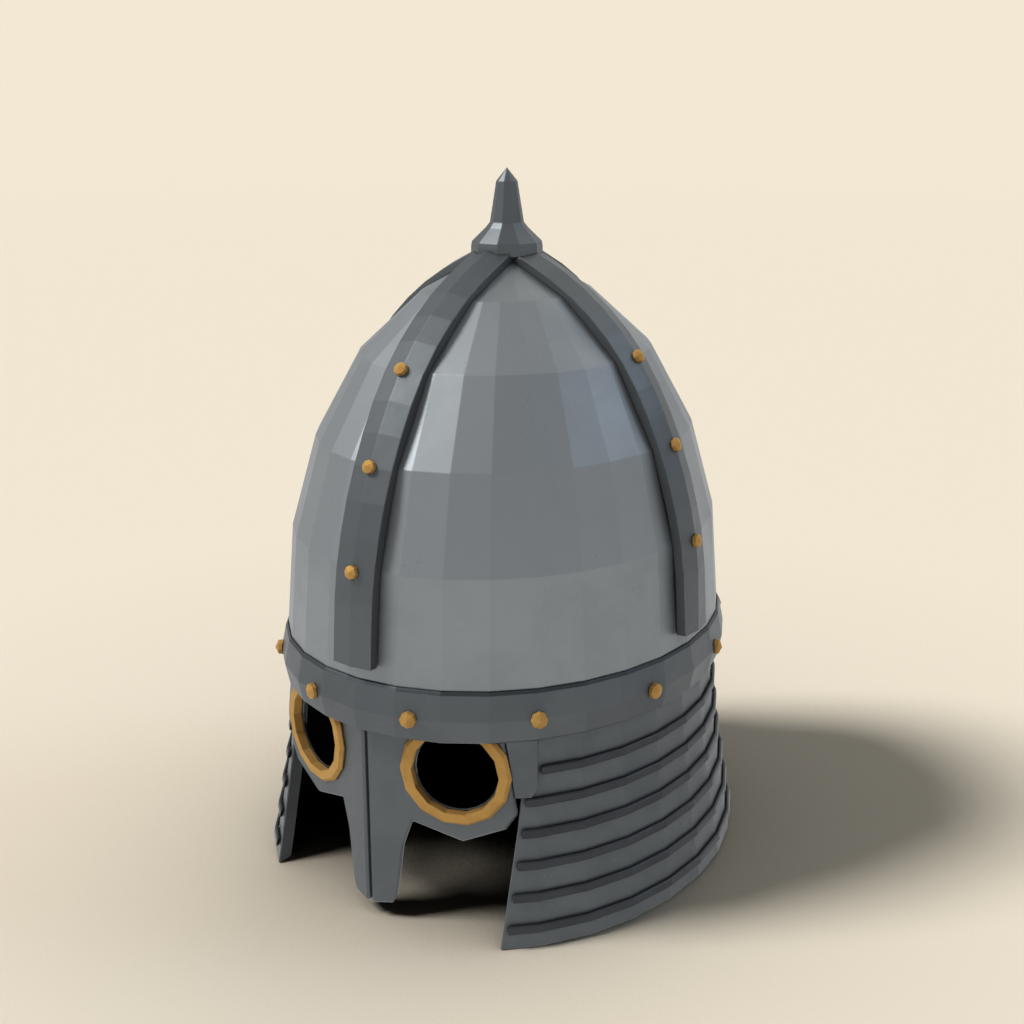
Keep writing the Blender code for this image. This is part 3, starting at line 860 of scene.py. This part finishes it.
def studio_world(stage):
    """A weak even light, a pale room for the metal to mirror, and the backdrop's colour."""
    world = bpy.data.worlds.new("Studio")
    world.use_nodes = True
    tree = world.node_tree
    tree.nodes.clear()
    direction = shader_node(tree, "ShaderNodeTexCoord").outputs["Generated"]
    height = shader_node(tree, "ShaderNodeSeparateXYZ", {0: direction}).outputs["Z"]
    upper = ramp(tree, height, -WORLD_BLEND, WORLD_BLEND)
    mirrored = blend_colours(tree, upper, opaque(stage.mirrored_floor), opaque(stage.mirrored_sky))

    # The helmet's own shadow on the floor, which lies away from the key light
    turn = Euler((0.0, SHADOW_DIP, stage.key_azimuth + math.pi))
    away = turn.to_matrix() @ Vector((1.0, 0.0, 0.0))
    towards = {0: direction, 1: tuple(away)}
    towards = shader_node(tree, "ShaderNodeVectorMath", towards, operation="DOT_PRODUCT")
    shaded = ramp(tree, towards.outputs["Value"], *SHADOW_EDGE)
    mirrored = blend_colours(tree, shaded, mirrored, opaque(stage.mirrored_shadow))

    rays = shader_node(tree, "ShaderNodeLightPath").outputs
    room = {"Color": opaque(stage.room_colour)}
    shade = shader_node(tree, "ShaderNodeBackground", room).outputs[0]
    seen = {"Is Glossy Ray": mirrored, "Is Camera Ray": opaque(stage.backdrop_colour)}
    for ray, colour in seen.items():
        other = shader_node(tree, "ShaderNodeBackground", {"Color": colour}).outputs[0]
        both = {0: rays[ray], 1: shade, 2: other}
        shade = shader_node(tree, "ShaderNodeMixShader", both).outputs[0]
    shader_node(tree, "ShaderNodeOutputWorld", {"Surface": shade})
    bpy.context.scene.world = world


def soft_sun(name, azimuth, height, spread, strength, colour):
    """A light from far off that shines from this azimuth and height."""
    lamp = bpy.data.lights.new(name, "SUN")
    lamp.energy = strength
    lamp.angle = spread
    lamp.color = colour
    sun = bpy.data.objects.new(name, lamp)
    sun.rotation_euler = (math.pi / 2 - height, 0.0, azimuth + math.pi / 2)
    bpy.context.scene.collection.objects.link(sun)


class HELMET_OT_set_stage(bpy.types.Operator):
    """Set up the floor, the lights and the camera"""

    bl_idname = "helmet.set_stage"
    bl_label = "Set the Stage"

    def execute(self, context):
        stage = context.scene.helmet_stage
        studio_floor(stage)
        studio_world(stage)
        key = (stage.key_azimuth, stage.key_height, stage.key_spread)
        soft_sun("key_light", *key, stage.key_strength, PLAIN_LIGHT)
        soft_sun("back_light", *BACK_LIGHT, stage.back_strength, WARM_LIGHT)
        soft_sun("rim_light", *RIM_LIGHT, stage.rim_strength, BLUE_LIGHT)
        camera = bpy.data.objects.new("camera", bpy.data.cameras.new("camera"))
        camera.data.lens = stage.lens
        camera.location = stage.camera_place
        camera.rotation_euler = stage.camera_turn
        context.scene.collection.objects.link(camera)
        context.scene.camera = camera
        context.scene.view_settings.view_transform = "Standard"
        return {"FINISHED"}


class HELMET_PT_panel(bpy.types.Panel):
    """The helmet's finishes and its studio"""

    bl_idname = "HELMET_PT_panel"
    bl_label = "Spectacle Helmet"
    bl_space_type = "VIEW_3D"
    bl_region_type = "UI"
    bl_category = "Helmet"

    def draw(self, context):
        for title, settings, steps in (
            ("Metals", context.scene.helmet_metals, FINISH_STEPS),
            ("Rivets", context.scene.helmet_rivets, RIVET_STEPS),
            ("Stage", context.scene.helmet_stage, STAGE_STEPS),
        ):
            box = self.layout.box()
            box.label(text=title)
            for name in settings.__annotations__:
                box.prop(settings, name)
            for step in steps:
                box.operator(step.bl_idname)


FINISH_STEPS = (
    HELMET_OT_finish_dome,
    HELMET_OT_finish_iron,
    HELMET_OT_finish_ribs,
    HELMET_OT_finish_brass,
)
RIVET_STEPS = (HELMET_OT_add_rivet_tails,)
STAGE_STEPS = (HELMET_OT_set_stage,)
SETTINGS = (
    ("helmet_metals", HelmetMetalSettings),
    ("helmet_rivets", HelmetRivetSettings),
    ("helmet_stage", HelmetStageSettings),
)


def register():
    for name, settings in SETTINGS:
        bpy.utils.register_class(settings)
        setattr(bpy.types.Scene, name, bpy.props.PointerProperty(type=settings))
    for kind in (*FINISH_STEPS, *RIVET_STEPS, *STAGE_STEPS, HELMET_PT_panel):
        bpy.utils.register_class(kind)


def unregister():
    for kind in (HELMET_PT_panel, *STAGE_STEPS, *RIVET_STEPS, *FINISH_STEPS):
        bpy.utils.unregister_class(kind)
    for name, settings in reversed(SETTINGS):
        delattr(bpy.types.Scene, name)
        bpy.utils.unregister_class(settings)


def main():
    register()
    bpy.ops.helmet.set_stage()
    bpy.ops.helmet.finish_dome()
    bpy.ops.helmet.finish_iron()
    bpy.ops.helmet.finish_ribs()
    bpy.ops.helmet.finish_brass()
    bpy.ops.helmet.add_rivet_tails()


if __name__ == "__main__":
    main()
